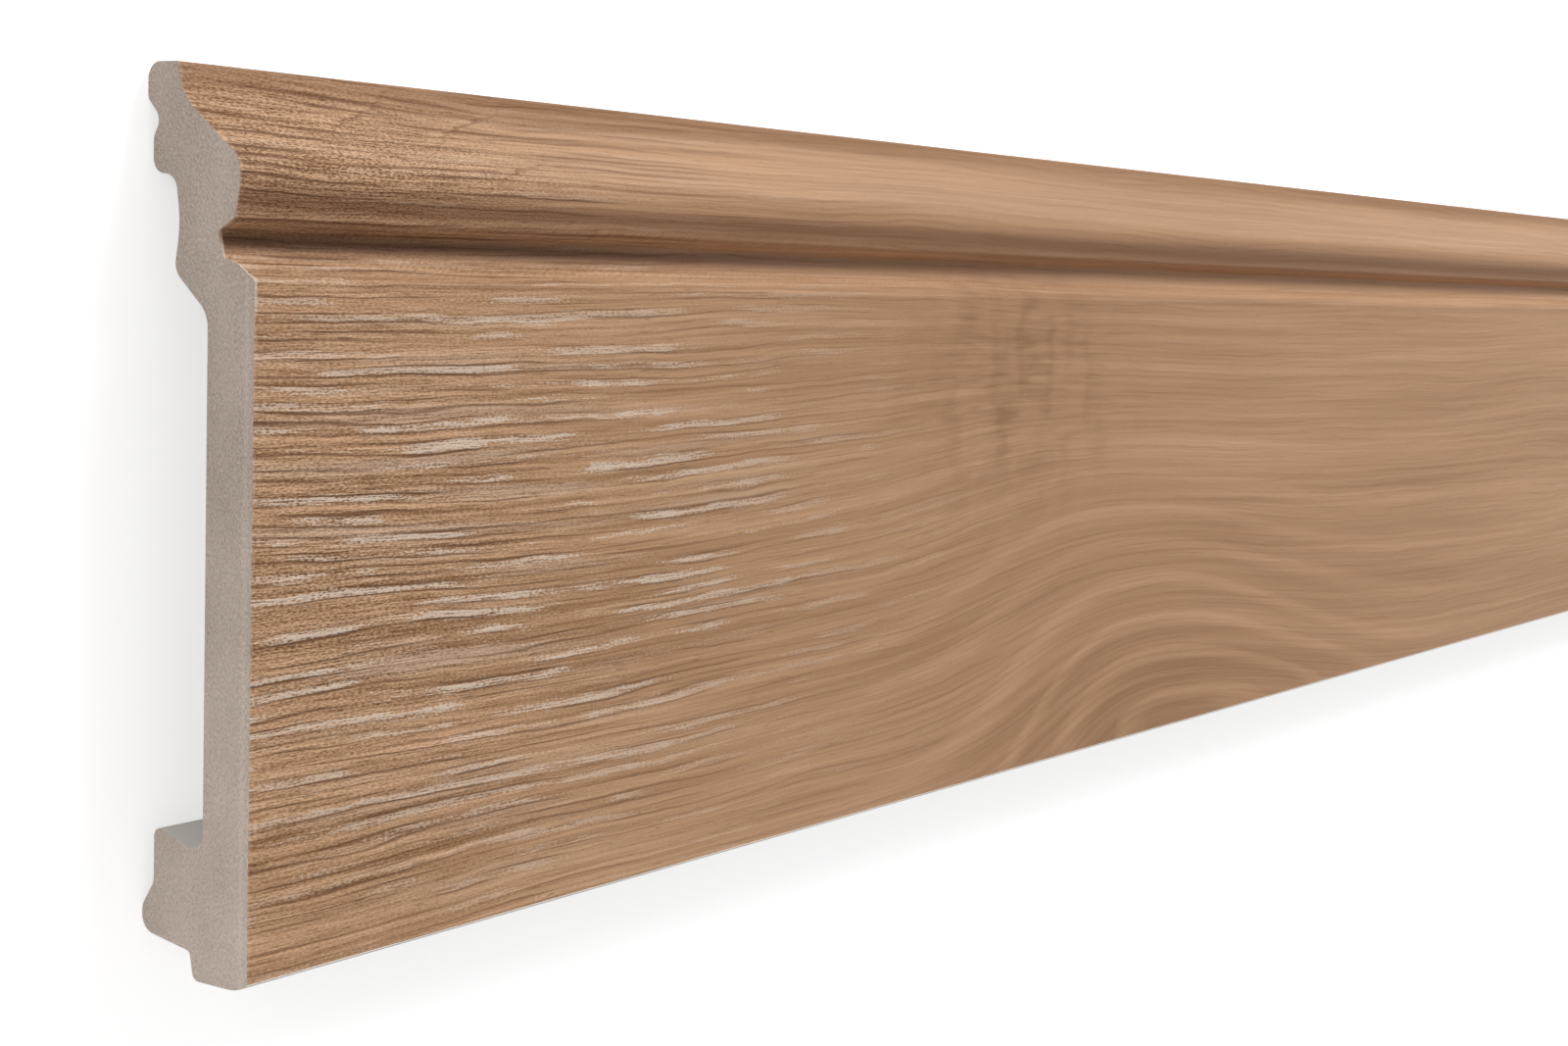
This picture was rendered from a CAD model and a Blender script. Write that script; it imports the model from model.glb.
"""Skirting board length: the printed oak film on its face, its foamed body, and the studio around it.

The board lies on its back. +X runs along it, +Y from its foot to its crown, +Z out of its face.
"""
import math

import bmesh
import bpy
from bpy.props import FloatProperty, FloatVectorProperty, IntProperty, PointerProperty
from bpy.types import Operator, Panel, PropertyGroup
from mathutils import Matrix, Vector


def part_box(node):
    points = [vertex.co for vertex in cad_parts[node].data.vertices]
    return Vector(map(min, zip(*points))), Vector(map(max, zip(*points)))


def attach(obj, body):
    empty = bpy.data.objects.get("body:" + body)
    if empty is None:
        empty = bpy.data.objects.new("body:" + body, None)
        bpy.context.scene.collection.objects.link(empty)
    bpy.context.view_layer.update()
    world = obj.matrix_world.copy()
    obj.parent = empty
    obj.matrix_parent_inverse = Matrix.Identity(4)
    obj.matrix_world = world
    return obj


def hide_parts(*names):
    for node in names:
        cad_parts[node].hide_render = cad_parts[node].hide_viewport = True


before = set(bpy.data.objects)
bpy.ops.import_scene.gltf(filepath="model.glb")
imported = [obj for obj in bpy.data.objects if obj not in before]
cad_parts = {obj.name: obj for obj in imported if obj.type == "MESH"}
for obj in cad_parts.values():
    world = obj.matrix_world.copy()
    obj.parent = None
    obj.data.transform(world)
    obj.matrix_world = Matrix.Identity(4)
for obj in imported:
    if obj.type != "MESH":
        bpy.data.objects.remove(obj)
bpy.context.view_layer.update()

bl_info = {
    "name": "Skirting board length",
    "version": (1, 0, 0),
    "blender": (4, 5, 0),
    "location": "View3D > Sidebar > Skirting",
    "description": "A wood-look skirting board with a moulded head, and a plain studio",
    "category": "Object",
}

BOARD = "skirting_board"
BODY = "root"
NEAR_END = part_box(BOARD)[0].x
FAR_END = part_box(BOARD)[1].x
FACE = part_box(BOARD)[1].z
MM = 0.001

# Points of the frame's mesh nearer than this are one, and a point this near the face lies on it.
SAME_POINT = 0.001 * MM
# A point this near the near end's plane belongs to that end.
AT_END = 0.01 * MM
# Share by which the chords of one arc may differ in length, and the least turn, in radians, of an arc.
SAME_LENGTH = 0.002
LEAST_TURN = 1e-4

# Attributes that the section hands to the swept board
PLACE = "section_place"
ALONG = "along"
DEVELOPED = "developed"
ON_FILM = "on_film"
FILM_MAP = "film_map"
# Above this an attribute of 0 or 1 counts as 1, and a face whose normal has this much X is an end.
NEARLY_ONE = 0.99
# How far one seed moves the embossed ripples, in ripples
RELIEF_SEED_SHIFT = 0.37
WHITE = (1.0, 1.0, 1.0, 1.0)


def tone(red, green, blue):
    """A screen colour from 0 to 255, as the linear values that Blender's sockets hold."""
    def linear(value):
        value /= 255
        return value / 12.92 if value <= 0.04045 else ((value + 0.055) / 1.055) ** 2.4
    return (linear(red), linear(green), linear(blue))


# Node graphs

class Socket:
    """An output in a node graph. Operators on one that carries a number add Math nodes."""

    def __init__(self, graph, socket):
        self.graph = graph
        self.socket = socket

    def maths(self, operation, *operands):
        return self.graph.node("ShaderNodeMath", {"operation": operation}, dict(enumerate(operands)))

    def __add__(self, other):
        return self.maths("ADD", self, other)

    __radd__ = __add__

    def __mul__(self, other):
        return self.maths("MULTIPLY", self, other)

    __rmul__ = __mul__

    def __sub__(self, other):
        return self.maths("SUBTRACT", self, other)

    def __rsub__(self, other):
        return self.maths("SUBTRACT", other, self)

    def __truediv__(self, other):
        return self.maths("DIVIDE", self, other)

    def __rtruediv__(self, other):
        return self.maths("DIVIDE", other, self)

    def __abs__(self):
        return self.maths("ABSOLUTE", self)

    def root(self):
        return self.maths("SQRT", self)

    def floor(self):
        return self.maths("FLOOR", self)

    def fraction(self):
        return self.maths("FRACT", self)

    def at_most(self, limit):
        return self.maths("MINIMUM", self, limit)

    def at_least(self, limit):
        return self.maths("MAXIMUM", self, limit)

    def clamped(self):
        return self.at_least(0.0).at_most(1.0)

    def over(self, limit):
        """1 where the number is over a limit, and 0 elsewhere."""
        return self.maths("GREATER_THAN", self, limit)

    def angle(self, other):
        """Angle, in radians, whose tangent is this number over the other one."""
        return self.maths("ARCTAN2", self, other)

    def bell(self):
        """1 where the number is 0, and falling to nothing either side of it."""
        return self.maths("EXPONENT", 0 - self * self)

    def band(self, middle, half_width):
        """1 in the middle of a band of values, and falling to nothing past its edges."""
        return ((self - middle) / half_width).bell()

    def step(self, low, high):
        """0 before low and 1 past high, with a soft step between."""
        return self.graph.node("ShaderNodeMapRange", {"interpolation_type": "SMOOTHSTEP"},
                               {"Value": self, "From Min": low, "From Max": high})


class Graph:
    """A node tree, and the ways of adding nodes to it."""

    # How far one seed moves a pattern, in lumps along and across
    SEED_SHIFT = (7.13, 3.71)

    def __init__(self, tree):
        self.tree = tree
        self.tree.nodes.clear()

    def node(self, kind, settings=None, inputs=None, output=0):
        """Add a node: its settings first, then the values or links of its sockets."""
        node = self.tree.nodes.new(kind)
        for name, setting in (settings or {}).items():
            setattr(node, name, setting)
        for key, value in (inputs or {}).items():
            if isinstance(value, Socket):
                self.tree.links.new(value.socket, node.inputs[key])
            else:
                node.inputs[key].default_value = value
        return Socket(self, node.outputs[output]) if node.outputs else None

    def outputs(self, source, *names):
        """Other outputs of the node that a socket belongs to."""
        return [Socket(self, source.socket.node.outputs[name]) for name in names]

    def vector(self, x=0.0, y=0.0, z=0.0):
        return self.node("ShaderNodeCombineXYZ", None, {"X": x, "Y": y, "Z": z})

    def split(self, vector):
        return self.outputs(self.node("ShaderNodeSeparateXYZ", None, {"Vector": vector}), "X", "Y", "Z")

    def noise(self, vector, octaves=2.0, roughness=0.5, dimensions="2D"):
        """Even noise of about one lump a unit, from 0 to 1."""
        sizes = {"Vector": vector, "Scale": 1.0, "Detail": octaves, "Roughness": roughness}
        return self.node("ShaderNodeTexNoise", {"noise_dimensions": dimensions}, sizes)

    def streaks(self, along, across, kind):
        """Noise drawn out into streaks of one kind: length and width in millimetres, seed, octaves."""
        length, width, seed, octaves = kind
        shift_along, shift_across = self.SEED_SHIFT
        place = self.vector(along / length + seed * shift_along, across / width + seed * shift_across)
        return self.noise(place, octaves)

    def mix(self, factor, first, second):
        """A colour between two."""
        colours = [c if isinstance(c, Socket) else (*c, 1.0) for c in (first, second)]
        return self.node("ShaderNodeMix", {"data_type": "RGBA"},
                         {0: factor, 6: colours[0], 7: colours[1]}, output=2)

    def shader(self, colour, roughness, height, specular=0.5):
        """A plastic surface whose relief is a height in millimetres."""
        bump = self.node("ShaderNodeBump", None, {"Strength": 1.0, "Distance": MM, "Height": height})
        surface = self.node("ShaderNodeBsdfPrincipled", None, {
            "Base Color": colour, "Roughness": roughness, "Specular IOR Level": specular, "Normal": bump})
        self.node("ShaderNodeOutputMaterial", None, {"Surface": surface})


def new_material(name):
    """An empty material and the graph of its nodes."""
    material = bpy.data.materials.new(name)
    material.use_nodes = True
    return material, Graph(material.node_tree)


# The oak print, in millimetres: along from the near end, and developed height over the film

# Hearts of the oak figure, which the growth rings go round in arches: along, height, reach before and
# after along the grain, and how high the arches bulge.
HEARTS = [
    (267, -55, 62, 95, 44),
    (820, 46, 80, 110, -38),
    (1330, -42, 75, 100, 42),
    (1830, 32, 75, 105, -34),
    (2240, -55, 65, 95, 40),
]
HEART_LEAN = 0.75
ARCH_HEIGHT = 85
# The rings show round a heart in a patch of this many times its reach, and this far across.
HEART_PATCH = 1.5
HEART_SPREAD = 58
# Patches of curly cross grain: along, height, reach along and across.
CURLS = [
    (196, 17, 38, 23),
    (1240, -30, 28, 13),
    (1885, 18, 26, 13),
]
# Stretches with lime left in the grain, in the same terms.
LIMED = [
    (45, -6, 76, 42),
    (660, 0, 90, 30),
    (1120, -20, 110, 34),
    (1560, 10, 100, 30),
    (2030, -25, 90, 28),
    (2360, 5, 80, 34),
]
# Stretches where the embossing is deepest, in the same terms but measured from the nearer cut, so that
# both ends are alike.
DEEP = [
    (8, -8, 72, 74),
    (12, 58, 55, 12),
]
# Creases that cut slantwise through the grain: along, height, half length.
CREASES = [
    (29, 64.5, 9),
    (52, 64.5, 10),
    (56, 55, 9),
]
CREASE_SLOPE = math.radians(24)

# Bands of the film that follow the section: developed height of the middle, and half width.
ARRIS = (32.3, 1.2)
SHOULDER = (36.2, 1.9)
QUIRK = (40.8, 1.5)
UNDERSIDE = (47.6, 2.6)
FLANK = (58, 7)
CROWN_FRONT = (68, 3)
CROWN_TOP = (66, 69.5)
SLANTED = [(36.8, 2), (44.5, 2)]
BROAD_GROOVES = [(59, 9), (35.5, 2.5)]
TORN_MOST = (35, 7)
# The dark line in the quirk is strongest within this distance of a cut.
QUIRK_REACH = 170

# Kinds of streaks in the print: length, width, seed, octaves.
SWAY = (120, 40, 1, 1)
RIPPLE = (12, 4.5, 2, 2)
UNEVEN_RINGS = (300, 26, 3, 1)
BROAD_BANDS = (260, 12, 4, 2)
LINES = (150, 1.6, 5, 1)
FIBRES = (45, 0.58, 6, 1)
WOBBLE = (60, 7, 7, 2)
PORES = (5, 0.42, 9, 1)
LENSES = (34, 0.43, 11, 1)
HAIRS = (8, 0.24, 13, 1)
SPECKLE = (0.7, 0.28, 14, 1)
LIME_BANDS = (80, 3, 15, 1)
GROOVES = (38, 0.57, 16, 1)
TEARS = (2.2, 3, 17, 2)
STROKES = (3, 0.4, 18, 1)
BARS = (8, 22, 21, 1)
RUNGS = (14, 1.8, 22, 1)
# The strokes cross the grain at this angle.
STROKE_SLOPE = (0.82, 0.57)


def patches(along, across, places):
    """1 in the middle of each oval patch, falling softly to 0 round it."""
    cover = 0.0
    for place, height, reach, spread in places:
        cover = along.band(place, reach) * across.band(height, spread) + cover
    return cover


class OakPrint:
    """The oak print: its coordinates in millimetres, the noises that its parts share, and its parts."""

    def __init__(self, graph, look):
        self.graph = graph
        self.look = look
        u, v, _ = graph.split(graph.node("ShaderNodeUVMap", {"uv_map": FILM_MAP}))
        self.along = u / MM
        self.across = v / MM
        self.from_cut = self.along.at_most((FAR_END - NEAR_END) / MM - self.along)

        # The grain's own height, which wanders a little and leans round the hearts
        self.ripple = graph.streaks(self.along, self.across, RIPPLE) - 0.5
        sway = graph.streaks(self.along, self.across, SWAY) - 0.5
        wandering = self.across + sway * look.sway + self.ripple * 0.45
        arches = self.arch_lift()
        self.ring_height = wandering - arches
        self.height = wandering - arches * 0.45

        # How strong the grain is: fine grain fades sooner than coarse away from the deep stretches
        self.limed = patches(self.along, self.across, LIMED).at_most(1.0)
        self.deep = patches(self.from_cut, self.across, DEEP).at_most(1.3)
        self.coarse = self.deep.root() * 0.82 + 0.18
        self.fine = self.deep * self.deep * 1.1 + 0.1

        self.fibres = self.streaks(FIBRES) - 0.5
        self.hairs = self.streaks(HAIRS) - 0.5
        self.speckle = graph.streaks(self.along, self.across, SPECKLE) - 0.5
        self.ragged = self.hairs * 0.4 + self.speckle * 0.3

        # Rows of grooves side by side, and the pairs of rows that lime lies between
        wobble = self.streaks(WOBBLE) - 0.5
        self.rows = (self.height + wobble * 2.9 + self.fibres * 0.35) / look.groove_pitch
        self.pairs = self.rows * 0.5
        self.filled = graph.streaks(self.along, self.pairs.floor(), LENSES)

    def streaks(self, kind):
        """Streaks that follow the grain."""
        return self.graph.streaks(self.along, self.height, kind)

    def arch_lift(self):
        """How far the hearts push the growth rings sideways."""
        lift = 0.0
        for place, height, before, after, bulge in HEARTS:
            above = self.across - height
            fading = 1 - abs(above) / ARCH_HEIGHT
            leaning = self.along - place + above * math.copysign(HEART_LEAN, bulge)
            distance = (leaning / after).at_least(leaning / -before)
            lift = distance.bell() * fading.clamped() * bulge + lift
        return lift

    def rings(self):
        """Growth rings round the hearts: a dark side that deepens, then a soft pale line."""
        uneven = self.graph.streaks(self.along, self.ring_height, UNEVEN_RINGS)
        phase = (self.ring_height / self.look.ring_width + uneven * 0.9).fraction()
        dark = phase.step(0.15, 0.75) * phase.step(0.9, 0.78)
        pale = phase.band(0.8, 0.19)
        hearts = [(place, height, after * HEART_PATCH, HEART_SPREAD) for place, height, _, after, _ in HEARTS]
        return (pale * 0.19 - dark * 0.06 - 0.17) * patches(self.along, self.across, hearts)

    def strokes(self):
        """Short strokes that cross the grain on the slopes of the moulding."""
        forward, sideways = STROKE_SLOPE
        place = self.along * forward + self.across * sideways
        over = self.across * forward - self.along * sideways
        first, second = SLANTED
        slanted = self.across.band(*first) + self.across.band(*second)
        return (self.graph.streaks(place, over, STROKES) - 0.5) * slanted * self.coarse

    def brightness(self):
        """Tone, from broad bands to single fibres, with lighter and darker bands along the moulding."""
        bands = self.streaks(BROAD_BANDS) - 0.5
        lines = self.streaks(LINES) - 0.5
        coarse = (lines * 0.55 + self.fibres * 0.8) * self.coarse
        fine = (self.hairs * 0.8 + self.speckle * 1.1) * self.fine
        moulding = self.across.band(*SHOULDER) * 0.12 - self.across.band(*ARRIS) * 0.12
        moulding = moulding + self.across.band(*FLANK) * (self.deep * 0.07 - 0.05)
        moulding = moulding - self.across.band(*CROWN_FRONT) * 0.05
        figure = self.strokes() * 1.2 - self.limed * 0.06 + self.rings()
        return coarse + fine + lines * 0.2 + bands * 0.35 + figure + moulding + 0.575

    def grooves(self):
        """Grooves side by side along the grain, each coming and going by itself."""
        row = self.rows.floor()
        there = self.graph.streaks(self.along, row, GROOVES)
        first, second = BROAD_GROOVES
        broad = self.across.band(*first) + self.across.band(*second)
        return (self.rows - row).band(0.5, there * 0.21 + broad * 0.1) * there.step(0.36, 0.66)

    def lime(self):
        """Lime left between two grooves, in flat lenses with ragged edges."""
        over_lens = (self.pairs.fraction() - 0.5) / 0.2
        lens = self.filled.at_most(0.6) - over_lens * over_lens * 0.07 + self.ragged + self.limed * 0.05
        return lens.step(0.51, 0.64) * (self.limed * 1.25 + 0.02).clamped()

    def lime_bands(self):
        """Soft pale bands round the lime."""
        return (self.streaks(LIME_BANDS) + self.ragged).step(0.5, 0.75) * self.limed

    def pores(self):
        """Short open pores."""
        return (self.streaks(PORES) + self.speckle * 0.1).step(0.7, 0.78) * self.coarse

    def curls(self):
        """Curly patches: soft dark bars across the grain, and short dark rungs along it."""
        bars = self.graph.streaks(self.along + self.ripple * 8, self.across, BARS).step(0.36, 0.76)
        rungs = self.streaks(RUNGS).step(0.42, 0.7)
        return patches(self.along, self.across, CURLS) * (bars * 0.26 + rungs * 0.22 + 0.07)

    def creases(self):
        """Creases, each with a pale edge, above 0, and a dark one, below 0."""
        crease = 0.0
        for place, height, reach in CREASES:
            right = self.along - place
            up = self.across - height + self.ripple * 4 + self.fibres * 1.5
            forward = right * math.cos(CREASE_SLOPE) + up * math.sin(CREASE_SLOPE)
            over = up * math.cos(CREASE_SLOPE) - right * math.sin(CREASE_SLOPE)
            edges = over.band(0.5, 0.45) - over.band(-0.3, 0.3)
            crease = edges * (forward / reach).bell() * (self.fibres * 2 + 1) + crease
        return crease

    def torn(self):
        """The film's torn edge at a cut."""
        tears = self.graph.streaks(self.across, self.along, TEARS) * 1.1 - self.from_cut * 0.9
        return tears.step(0.12, 0.3) * (self.across.band(*TORN_MOST) * 0.7 + 0.15)


def make_film(look):
    """Printed oak film with an embossed, brushed grain."""
    material, graph = new_material("oak_film")
    oak = OakPrint(graph, look)
    groove = oak.grooves()
    lime = oak.lime()
    pore = oak.pores()
    crease = oak.creases()

    # Wood, lime, then dark fibre in the grooves and open pores
    beside_lime = oak.filled.step(0.5, 0.58) * oak.limed * 0.35
    colour = graph.mix(oak.brightness(), look.dark_ground, look.light_ground)
    colour = graph.mix(oak.lime_bands() * 0.25, colour, look.lime)
    colour = graph.mix(lime * 0.8, colour, look.lime)
    colour = graph.mix((groove * (oak.coarse * 0.8 + beside_lime)).at_most(0.92), colour, look.fibre)
    colour = graph.mix(pore * 0.5, colour, look.pore)
    colour = graph.mix(oak.curls(), colour, look.fibre)
    colour = graph.mix(crease * 0.12, colour, look.light_ground)
    colour = graph.mix(crease * -0.6, colour, look.fibre)

    # Darker print under the nose and on the crown's top, a dark line in the quirk, and pale torn edges
    hollow = oak.across.band(*UNDERSIDE) * 0.6 + oak.across.step(*CROWN_TOP) * 0.25
    quirk = oak.across.band(*QUIRK) * ((oak.from_cut / QUIRK_REACH).bell() * 0.62 + 0.32)
    colour = graph.mix(hollow, colour, look.hollow)
    colour = graph.mix(quirk, colour, look.crease)
    colour = graph.mix(oak.torn(), colour, look.lime)

    height = oak.fibres * 0.12 * oak.coarse + (oak.hairs * 0.1 + oak.speckle * 0.14) * oak.fine
    height = height - groove * oak.coarse * 0.08
    roughness = 0.46 + oak.fibres * 0.25 + pore * 0.15 + lime * 0.08
    graph.shader(colour, roughness, height, specular=0.12)
    return material


# The foam, whose lumps are in millimetres: length along the board and width across it

DRAWN_LINES = (160, 0.9)
SKIN_CELLS = (0.5, 0.4)
CLOUDS = (60, 14)
# On a sawn end: lumps along and across the saw's arcs, a kind of streaks, and lumps in height and depth.
CUT_CELLS = (0.5, 0.3)
SAW_MARKS = (3, 0.45, 12, 1)
CUT_CLOUDS = (16, 9)
# A paler rim this far under the face, its half width, and the heights between which the cut grows paler.
RIM_DEPTH = 1.3
RIM_WIDTH = 0.45
PALER = (30, -56)


def make_skin(look):
    """Extruded foam skin: smooth, with faint lines drawn along the board."""
    material, graph = new_material("foam_skin")
    x, y, z = graph.split(graph.node("ShaderNodeTexCoord", output="Object"))

    def lumps(length, width):
        place = graph.vector(x / (length * MM), y / (width * MM), z / (width * MM))
        return graph.noise(place, dimensions="3D")

    lines = lumps(*DRAWN_LINES) - 0.5
    cells = lumps(*SKIN_CELLS) - 0.5
    clouds = lumps(*CLOUDS)
    colour = graph.mix(clouds * 0.6 + lines * 0.5, look.skin, look.skin_shade)
    graph.shader(colour, 0.42 + lines * 0.3 + clouds * 0.1, lines * 0.05 + cells * 0.02)
    return material


def make_cut(look):
    """Sawn foam: open cells, drawn out into faint arcs by the saw blade."""
    material, graph = new_material("foam_cut")
    _, y, z = graph.split(graph.node("ShaderNodeTexCoord", output="Object"))
    height = y / MM
    depth = z / MM

    # Places along and across the arcs that the blade's teeth leave
    up = height - look.blade_height / MM
    out = depth - look.blade_depth / MM
    radius = (up * up + out * out).root()
    sweep = up.angle(out) * (look.blade_radius / MM)

    cell_length, cell_width = CUT_CELLS
    cloud_height, cloud_depth = CUT_CLOUDS
    cells = graph.noise(graph.vector(sweep / cell_length, radius / cell_width), 3.0, 0.65) - 0.5
    scratches = graph.streaks(sweep, radius, SAW_MARKS) - 0.5
    clouds = graph.noise(graph.vector(height / cloud_height, depth / cloud_depth)) - 0.5
    rim = depth.band(FACE / MM - RIM_DEPTH, RIM_WIDTH)
    shade = 0.43 + cells * 1.3 + scratches * 0.2 + clouds * 0.4 + rim * 0.15 + height.step(*PALER) * 0.3
    colour = graph.mix(shade, look.cut_shade, look.cut)
    graph.shader(colour, 0.72 + cells * 0.2, cells * 0.42 + scratches * 0.05, specular=0.3)
    return material


# The board's section, read from the frame

def cad_outline():
    """The section's outline in the frame, from the crown's back edge over its top and down the face."""
    mesh = bmesh.new()
    mesh.from_mesh(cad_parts[BOARD].data)
    bmesh.ops.remove_doubles(mesh, verts=mesh.verts, dist=SAME_POINT)
    at_end = {v for v in mesh.verts if abs(v.co.x - NEAR_END) < AT_END}
    rim = [e for e in mesh.edges if set(e.verts) <= at_end
           and sum(set(f.verts) <= at_end for f in e.link_faces) == 1]
    beside = {}
    for edge in rim:
        first, second = edge.verts
        beside.setdefault(first, []).append(second)
        beside.setdefault(second, []).append(first)
    start = max(beside, key=lambda v: (round(v.co.y, 6), -v.co.z))
    loop = [start, max(beside[start], key=lambda v: v.co.y)]
    while True:
        after = next(v for v in beside[loop[-1]] if v is not loop[-2])
        if after is start:
            break
        loop.append(after)
    points = [Vector((v.co.y, v.co.z)) for v in loop]
    mesh.free()
    return points


def turn_between(before, after):
    """Angle from one direction to another, anticlockwise."""
    return math.atan2(before.x * after.y - before.y * after.x, before.dot(after))


def edge_kinds(points):
    """Which edges of the outline are chords of an arc; the others are straight runs."""
    count = len(points)
    lengths = [(points[(i + 1) % count] - points[i]).length for i in range(count)]
    inside_arc = [abs(lengths[i - 1] - lengths[i]) < SAME_LENGTH * lengths[i] for i in range(count)]
    chord = [inside_arc[i] or inside_arc[(i + 1) % count] for i in range(count)]
    # Between two arcs, straight runs and arcs of a single chord take turns
    first = next(i for i in range(count) if chord[i - 1] and not chord[i])
    run_length = 0
    for step in range(count):
        i = (first + step) % count
        if inside_arc[i] or inside_arc[(i + 1) % count]:
            run_length = 0
        else:
            chord[i] = run_length % 2 == 1
            run_length += 1
    return chord


def headings(points, chord):
    """Direction of the outline at each point: a straight run's own, or the tangent of an arc."""
    count = len(points)
    along = [(points[(i + 1) % count] - points[i]).normalized() for i in range(count)]
    heading = []
    for i in range(count):
        if not chord[i]:
            heading.append(along[i])
        elif not chord[i - 1]:
            heading.append(along[i - 1])
        else:
            heading.append((along[i - 1] + along[i]).normalized())
    return heading


def round_outline(points, last_film, arc_step, film_step):
    """The outline with true arcs in place of chords, and short steps where the film lies.

    Returns the new points, and which of them is the film's last.
    """
    count = len(points)
    chord = edge_kinds(points)
    heading = headings(points, chord)
    refined = []
    for i in range(count):
        start, finish = points[i], points[(i + 1) % count]
        if i == last_film:
            film_end = len(refined)
        step = film_step if i < last_film else math.inf
        length = (finish - start).length
        bend = turn_between(heading[i], heading[(i + 1) % count]) if chord[i] else 0.0
        pieces = max(1, math.ceil(abs(bend) / arc_step), math.ceil(length / step))
        for piece in range(pieces):
            share = piece / pieces
            if abs(bend) < LEAST_TURN:
                refined.append(start.lerp(finish, share))
                continue
            swing = bend * share
            reach = length * math.sin(swing / 2) / math.sin(bend / 2)
            refined.append(start + Matrix.Rotation(swing / 2, 2) @ heading[i] * reach)
    return refined, film_end


def make_section(sizes):
    """The section as a closed wire, with its developed height and where the film covers it."""
    outline = cad_outline()
    on_face = [i for i, p in enumerate(outline) if p.y > FACE - SAME_POINT]
    points, film_end = round_outline(outline, on_face[-1], sizes.arc_step, sizes.film_step)
    count = len(points)

    # Developed height: the face keeps its own height, and the rest follows the outline's length
    developed = [points[film_end].x]
    for i in range(film_end, 0, -1):
        developed.insert(0, developed[0] + (points[i] - points[i - 1]).length)
    for i in range(film_end + 1, count):
        developed.append(developed[-1] - (points[i] - points[i - 1]).length)

    mesh = bpy.data.meshes.new("section")
    mesh.from_pydata([(0.0, p.x, p.y) for p in points], [(i, (i + 1) % count) for i in range(count)], [])
    mesh.attributes.new(DEVELOPED, "FLOAT", "POINT").data.foreach_set("value", developed)
    on_film = [float(i <= film_end) for i in range(count)]
    mesh.attributes.new(ON_FILM, "FLOAT", "POINT").data.foreach_set("value", on_film)
    section = bpy.data.objects.new("section", mesh)
    bpy.context.scene.collection.objects.link(section)
    return section


# The sweep that turns the section into the board

SWEEP_INPUTS = {
    "Section": "NodeSocketObject",
    "Near End": "NodeSocketFloat",
    "Far End": "NodeSocketFloat",
    "Stations": "NodeSocketInt",
    "Relief Depth": "NodeSocketFloat",
    "Relief Length": "NodeSocketFloat",
    "Relief Width": "NodeSocketFloat",
    "Seed": "NodeSocketInt",
    "Film": "NodeSocketMaterial",
    "Skin": "NodeSocketMaterial",
    "Cut": "NodeSocketMaterial",
}


def sweep_tree():
    """Geometry nodes: sweep a section along the board, emboss the film, and give each face its finish."""
    tree = bpy.data.node_groups.new("board_sweep", "GeometryNodeTree")
    graph = Graph(tree)
    tree.interface.new_socket("Geometry", in_out="OUTPUT", socket_type="NodeSocketGeometry")
    for name, kind in SWEEP_INPUTS.items():
        tree.interface.new_socket(name, in_out="INPUT", socket_type=kind)
    given = graph.outputs(graph.node("NodeGroupInput"), *SWEEP_INPUTS)
    section, near_end, far_end, stations, depth, length, width, seed, film, skin, cut = given

    def read(name, kind="FLOAT"):
        return graph.node("GeometryNodeInputNamedAttribute", {"data_type": kind}, {"Name": name})

    def store(geometry, name, kind, domain, value):
        return graph.node("GeometryNodeStoreNamedAttribute", {"data_type": kind, "domain": domain},
                          {"Geometry": geometry, "Name": name, "Value": value})

    # The section as a curve that remembers where each of its points lies
    wire = graph.node("GeometryNodeObjectInfo", {"transform_space": "ORIGINAL"}, {"Object": section},
                      output="Geometry")
    wire = store(wire, PLACE, "FLOAT_VECTOR", "POINT", graph.node("GeometryNodeInputPosition"))
    profile = graph.node("GeometryNodeMeshToCurve", None, {"Mesh": wire})

    # The path, from end to end
    path = graph.node("GeometryNodeCurvePrimitiveLine", None,
                      {"Start": graph.vector(near_end), "End": graph.vector(far_end)})
    path = graph.node("GeometryNodeResampleCurve", {"mode": "COUNT"}, {"Curve": path, "Count": stations})
    path_x, _, _ = graph.split(graph.node("GeometryNodeInputPosition"))
    path = store(path, ALONG, "FLOAT", "POINT", path_x)
    board = graph.node("GeometryNodeCurveToMesh", None,
                       {"Curve": path, "Profile Curve": profile, "Fill Caps": True})
    _, y, z = graph.split(read(PLACE, "FLOAT_VECTOR"))
    x = read(ALONG)
    board = graph.node("GeometryNodeSetPosition", None,
                       {"Geometry": board, "Position": graph.vector(x, y, z)})

    # Embossing: shallow ripples drawn along the grain, cut into the film and fading at its edges
    developed = read(DEVELOPED)
    on_film = read(ON_FILM)
    place = graph.vector(x / length, developed / width, seed * RELIEF_SEED_SHIFT)
    ripples = graph.noise(place, octaves=1.0, dimensions="3D")
    sunk = (ripples.clamped() - 1) * depth * on_film
    normal_x, normal_y, normal_z = graph.split(graph.node("GeometryNodeInputNormal"))
    offset = graph.vector(0.0, normal_y * sunk, normal_z * sunk)
    board = graph.node("GeometryNodeSetPosition", None, {"Geometry": board, "Offset": offset})

    # Finishes
    board = store(board, FILM_MAP, "FLOAT2", "CORNER", graph.vector(x - near_end, developed))
    is_cut = abs(normal_x).over(NEARLY_ONE)
    is_film = on_film.over(NEARLY_ONE) * (1 - is_cut)
    board = graph.node("GeometryNodeRealizeInstances", None, {"Geometry": board})
    for where, finish in ((True, skin), (is_film, film), (is_cut, cut)):
        board = graph.node("GeometryNodeSetMaterial", None,
                           {"Geometry": board, "Selection": where, "Material": finish})
    graph.node("NodeGroupOutput", None, {"Geometry": board})
    return tree


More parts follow.
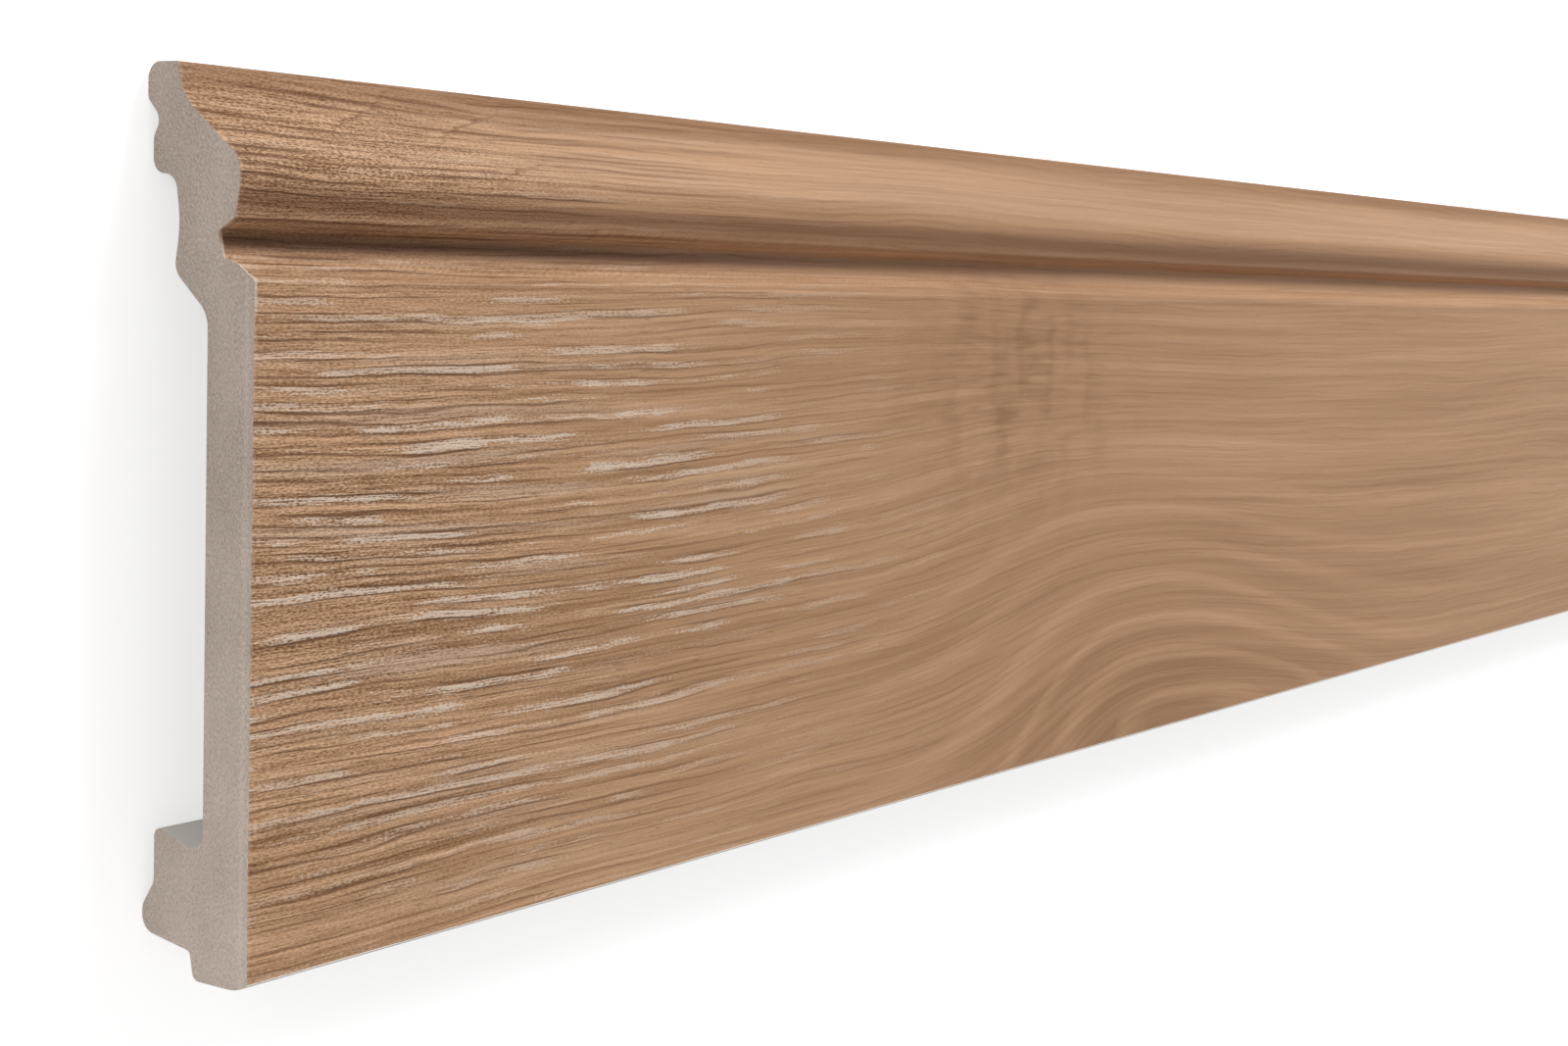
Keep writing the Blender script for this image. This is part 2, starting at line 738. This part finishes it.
def run_tree(tree, name, values):
    """The plain mesh that a tree makes from these inputs."""
    maker = bpy.data.objects.new(name, bpy.data.meshes.new(name))
    bpy.context.scene.collection.objects.link(maker)
    modifier = maker.modifiers.new(name, "NODES")
    modifier.node_group = tree
    for item in tree.interface.items_tree:
        if item.in_out == "INPUT":
            modifier[item.identifier] = values[item.name]
    bpy.context.view_layer.update()
    depsgraph = bpy.context.evaluated_depsgraph_get()
    mesh = bpy.data.meshes.new_from_object(maker.evaluated_get(depsgraph), preserve_all_data_layers=True,
                                           depsgraph=depsgraph)
    maker.modifiers.clear()
    bpy.data.objects.remove(maker)
    return mesh


def face_outwards(mesh):
    """Point every face of a closed mesh outwards."""
    work = bmesh.new()
    work.from_mesh(mesh)
    bmesh.ops.recalc_face_normals(work, faces=work.faces)
    work.to_mesh(mesh)
    work.free()


# Settings

class SkirtingSizes(PropertyGroup):
    """Sizes of the finished board's mesh and of its embossing."""

    film_step: FloatProperty(
        name="Film Step", description="Longest step of the outline under the film",
        default=0.6 * MM, unit="LENGTH")
    arc_step: FloatProperty(
        name="Arc Step", description="Largest turn between two points of a round stretch",
        default=math.radians(10), subtype="ANGLE")
    stations: IntProperty(
        name="Stations", description="Cross-sections along the board", default=220)
    relief_depth: FloatProperty(
        name="Relief Depth", description="Depth of the embossed ripples", default=0.11 * MM, unit="LENGTH")
    relief_length: FloatProperty(
        name="Relief Length", description="Length of one ripple along the grain",
        default=38 * MM, unit="LENGTH")
    relief_width: FloatProperty(
        name="Relief Width", description="Width of one ripple across the grain",
        default=2.1 * MM, unit="LENGTH")
    relief_seed: IntProperty(name="Relief Seed", description="Another seed moves the ripples", default=3)
    smooth_angle: FloatProperty(
        name="Smooth Angle", description="Edges that turn more than this stay sharp",
        default=math.radians(34), subtype="ANGLE")


class SkirtingFilm(PropertyGroup):
    """Colours and figure of the printed oak film."""

    light_ground: FloatVectorProperty(
        name="Light Ground", description="Palest wood", subtype="COLOR", default=tone(212, 171, 136))
    dark_ground: FloatVectorProperty(
        name="Dark Ground", description="Darkest wood between fibres", subtype="COLOR",
        default=tone(118, 80, 46))
    fibre: FloatVectorProperty(
        name="Fibre", description="Dark lines of the grain", subtype="COLOR", default=tone(106, 70, 42))
    pore: FloatVectorProperty(
        name="Pore", description="Open pores", subtype="COLOR", default=tone(84, 57, 37))
    lime: FloatVectorProperty(
        name="Lime", description="Pale lime left in the grain", subtype="COLOR",
        default=tone(216, 197, 180))
    hollow: FloatVectorProperty(
        name="Hollow", description="Darker print in the hollow under the nose", subtype="COLOR",
        default=tone(96, 56, 22))
    crease: FloatVectorProperty(
        name="Crease", description="Dark line at the bottom of the hollow", subtype="COLOR",
        default=tone(66, 33, 8))
    ring_width: FloatProperty(
        name="Ring Width", description="Distance between two growth rings, in millimetres", default=12.2)
    groove_pitch: FloatProperty(
        name="Groove Pitch", description="Distance between two grooves, in millimetres", default=1.25)
    sway: FloatProperty(
        name="Sway", description="How far the grain wanders sideways, in millimetres", default=4.0)


class SkirtingFoam(PropertyGroup):
    """Colours of the foamed body, and the saw that cut its ends."""

    skin: FloatVectorProperty(
        name="Skin", description="Extruded skin", subtype="COLOR", default=tone(226, 221, 214))
    skin_shade: FloatVectorProperty(
        name="Skin Shade", description="Duller stretches of the skin", subtype="COLOR",
        default=tone(213, 206, 198))
    cut: FloatVectorProperty(
        name="Cut", description="Sawn foam", subtype="COLOR", default=tone(220, 203, 190))
    cut_shade: FloatVectorProperty(
        name="Cut Shade", description="Hollows of the sawn foam", subtype="COLOR",
        default=tone(157, 141, 128))
    blade_height: FloatProperty(
        name="Blade Height", description="Height of the saw blade's axis on the board",
        default=0.0, unit="LENGTH")
    blade_depth: FloatProperty(
        name="Blade Depth", description="Distance of the saw blade's axis from the board's back",
        default=-70 * MM, unit="LENGTH")
    blade_radius: FloatProperty(
        name="Blade Radius", description="Radius of the saw blade", default=90 * MM, unit="LENGTH")


class SkirtingStage(PropertyGroup):
    """Camera, floor and lights."""

    lens: FloatProperty(name="Lens", description="Focal length in millimetres", default=58.48)
    camera_place: FloatVectorProperty(
        name="Camera Place", description="Where the camera stands", subtype="TRANSLATION",
        default=(-1.42745, 0.03511, 0.25867))
    camera_forward: FloatVectorProperty(
        name="Camera Forward", description="Direction of view", subtype="DIRECTION",
        default=(0.81997, -0.09701, -0.56413))
    camera_up: FloatVectorProperty(
        name="Camera Up", description="Direction that is up in the picture", subtype="DIRECTION",
        default=(0.06177, 0.99478, -0.08127))
    lit_point: FloatVectorProperty(
        name="Lit Point", description="Where both lights point", subtype="TRANSLATION",
        default=(NEAR_END + 0.2, 0.0, 0.0))
    key_place: FloatVectorProperty(
        name="Key Place", description="Where the key light hangs", subtype="TRANSLATION",
        default=(NEAR_END + 1.2, 1.7, 1.3))
    key_size: FloatProperty(
        name="Key Size", description="Side of the key light", default=1.2, unit="LENGTH")
    key_power: FloatProperty(
        name="Key Power", description="Power of the key light", default=38.0, unit="POWER")
    fill_place: FloatVectorProperty(
        name="Fill Place", description="Where the fill light hangs", subtype="TRANSLATION",
        default=(NEAR_END - 1.4, 0.5, 0.5))
    fill_size: FloatProperty(
        name="Fill Size", description="Side of the fill light", default=0.9, unit="LENGTH")
    fill_power: FloatProperty(
        name="Fill Power", description="Power of the fill light", default=10.0, unit="POWER")
    sky: FloatProperty(
        name="Sky", description="Strength of the even light from all round", default=0.5)
    floor_reach: FloatProperty(
        name="Floor Reach", description="Distance from the floor's middle to its sides",
        default=6.0, unit="LENGTH")
    floor_gap: FloatProperty(
        name="Floor Gap", description="How far the floor lies below the board",
        default=0.1 * MM, unit="LENGTH")
    paper: FloatVectorProperty(
        name="Paper", description="The floor's own colour", subtype="COLOR", default=(0.82, 0.82, 0.82))
    glow: FloatProperty(
        name="Glow", description="Light that the camera sees the floor give off", default=0.51)


# Operators

class SKIRTING_OT_board(Operator):
    """Make the finished board: its section swept, embossed, and given its three finishes"""

    bl_idname = "skirting.board"
    bl_label = "Make Board"

    def execute(self, context):
        scene = context.scene
        sizes = scene.skirting_sizes
        section = make_section(sizes)
        mesh = run_tree(sweep_tree(), "board_maker", {
            "Section": section, "Near End": NEAR_END, "Far End": FAR_END, "Stations": sizes.stations,
            "Relief Depth": sizes.relief_depth, "Relief Length": sizes.relief_length,
            "Relief Width": sizes.relief_width, "Seed": sizes.relief_seed,
            "Film": make_film(scene.skirting_film), "Skin": make_skin(scene.skirting_foam),
            "Cut": make_cut(scene.skirting_foam),
        })
        bpy.data.objects.remove(section)
        if not mesh.polygons:
            raise RuntimeError("the sweep made no faces")
        mesh.name = "finished_board"
        face_outwards(mesh)
        mesh.shade_smooth()
        mesh.set_sharp_from_angle(angle=sizes.smooth_angle)
        board = bpy.data.objects.new("finished_board", mesh)
        scene.collection.objects.link(board)
        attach(board, BODY)
        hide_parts(BOARD)
        return {"FINISHED"}


def area_light(name, place, target, size, power):
    """A square soft light that faces a point."""
    light = bpy.data.lights.new(name, "AREA")
    light.shape = "SQUARE"
    light.size = size
    light.energy = power
    lamp = bpy.data.objects.new(name, light)
    bpy.context.scene.collection.objects.link(lamp)
    lamp.location = place
    lamp.rotation_euler = (Vector(target) - Vector(place)).to_track_quat("-Z", "Y").to_euler()


def make_floor(stage):
    """A pale floor that shows white to the camera and keeps the board's shadow."""
    mesh = bpy.data.meshes.new("floor")
    reach = stage.floor_reach
    corners = [(-reach, -reach), (reach, -reach), (reach, reach), (-reach, reach)]
    mesh.from_pydata([(x, y, -stage.floor_gap) for x, y in corners], [], [(0, 1, 2, 3)])
    material, graph = new_material("floor_paper")
    paper = graph.node("ShaderNodeBsdfDiffuse", None, {"Color": (*stage.paper, 1.0)})
    glow = graph.node("ShaderNodeEmission", None, {"Color": WHITE, "Strength": stage.glow})
    seen = graph.node("ShaderNodeLightPath", output="Is Camera Ray")
    lit = graph.node("ShaderNodeAddShader", None, {0: paper, 1: glow})
    shown = graph.node("ShaderNodeMixShader", None, {0: seen, 1: paper, 2: lit})
    graph.node("ShaderNodeOutputMaterial", None, {"Surface": shown})
    mesh.materials.append(material)
    floor = bpy.data.objects.new("floor", mesh)
    bpy.context.scene.collection.objects.link(floor)


def make_world(strength):
    """Even light from all round, white to the camera."""
    world = bpy.data.worlds.new("studio")
    world.use_nodes = True
    graph = Graph(world.node_tree)
    seen = graph.node("ShaderNodeLightPath", output="Is Camera Ray")
    level = seen * (1.0 - strength) + strength
    sky = graph.node("ShaderNodeBackground", None, {"Color": WHITE, "Strength": level})
    graph.node("ShaderNodeOutputWorld", None, {"Surface": sky})
    bpy.context.scene.world = world


def make_camera(stage):
    """The camera at the photograph's angle to the board."""
    camera = bpy.data.cameras.new("camera")
    camera.lens = stage.lens
    holder = bpy.data.objects.new("camera", camera)
    bpy.context.scene.collection.objects.link(holder)
    back = -Vector(stage.camera_forward).normalized()
    right = Vector(stage.camera_up).cross(back).normalized()
    up = back.cross(right)
    turn = Matrix((right, up, back)).transposed().to_4x4()
    holder.matrix_world = Matrix.Translation(stage.camera_place) @ turn
    bpy.context.scene.camera = holder


class SKIRTING_OT_stage(Operator):
    """Set up the floor, the lights and the camera"""

    bl_idname = "skirting.stage"
    bl_label = "Make Stage"

    def execute(self, context):
        stage = context.scene.skirting_stage
        make_floor(stage)
        make_world(stage.sky)
        area_light("key", stage.key_place, stage.lit_point, stage.key_size, stage.key_power)
        area_light("fill", stage.fill_place, stage.lit_point, stage.fill_size, stage.fill_power)
        make_camera(stage)
        context.scene.view_settings.view_transform = "Standard"
        return {"FINISHED"}


class SKIRTING_PT_panel(Panel):
    """Sidebar panel with the board's sizes, colours and makers"""

    bl_idname = "SKIRTING_PT_panel"
    bl_label = "Skirting Board"
    bl_space_type = "VIEW_3D"
    bl_region_type = "UI"
    bl_category = "Skirting"

    def draw(self, context):
        layout = self.layout
        for operator in (SKIRTING_OT_board, SKIRTING_OT_stage):
            layout.operator(operator.bl_idname)
        for name, group in GROUPS.items():
            box = layout.box()
            box.label(text=group.__doc__.split(".")[0])
            settings = getattr(context.scene, name)
            for field in group.__annotations__:
                box.prop(settings, field)


GROUPS = {
    "skirting_sizes": SkirtingSizes,
    "skirting_film": SkirtingFilm,
    "skirting_foam": SkirtingFoam,
    "skirting_stage": SkirtingStage,
}
CLASSES = (*GROUPS.values(), SKIRTING_OT_board, SKIRTING_OT_stage, SKIRTING_PT_panel)


def register():
    for cls in CLASSES:
        bpy.utils.register_class(cls)
    for name, group in GROUPS.items():
        setattr(bpy.types.Scene, name, PointerProperty(type=group))


def unregister():
    for name in GROUPS:
        delattr(bpy.types.Scene, name)
    for cls in reversed(CLASSES):
        bpy.utils.unregister_class(cls)


def main():
    register()
    bpy.ops.skirting.board()
    bpy.ops.skirting.stage()


if __name__ == "__main__":
    main()
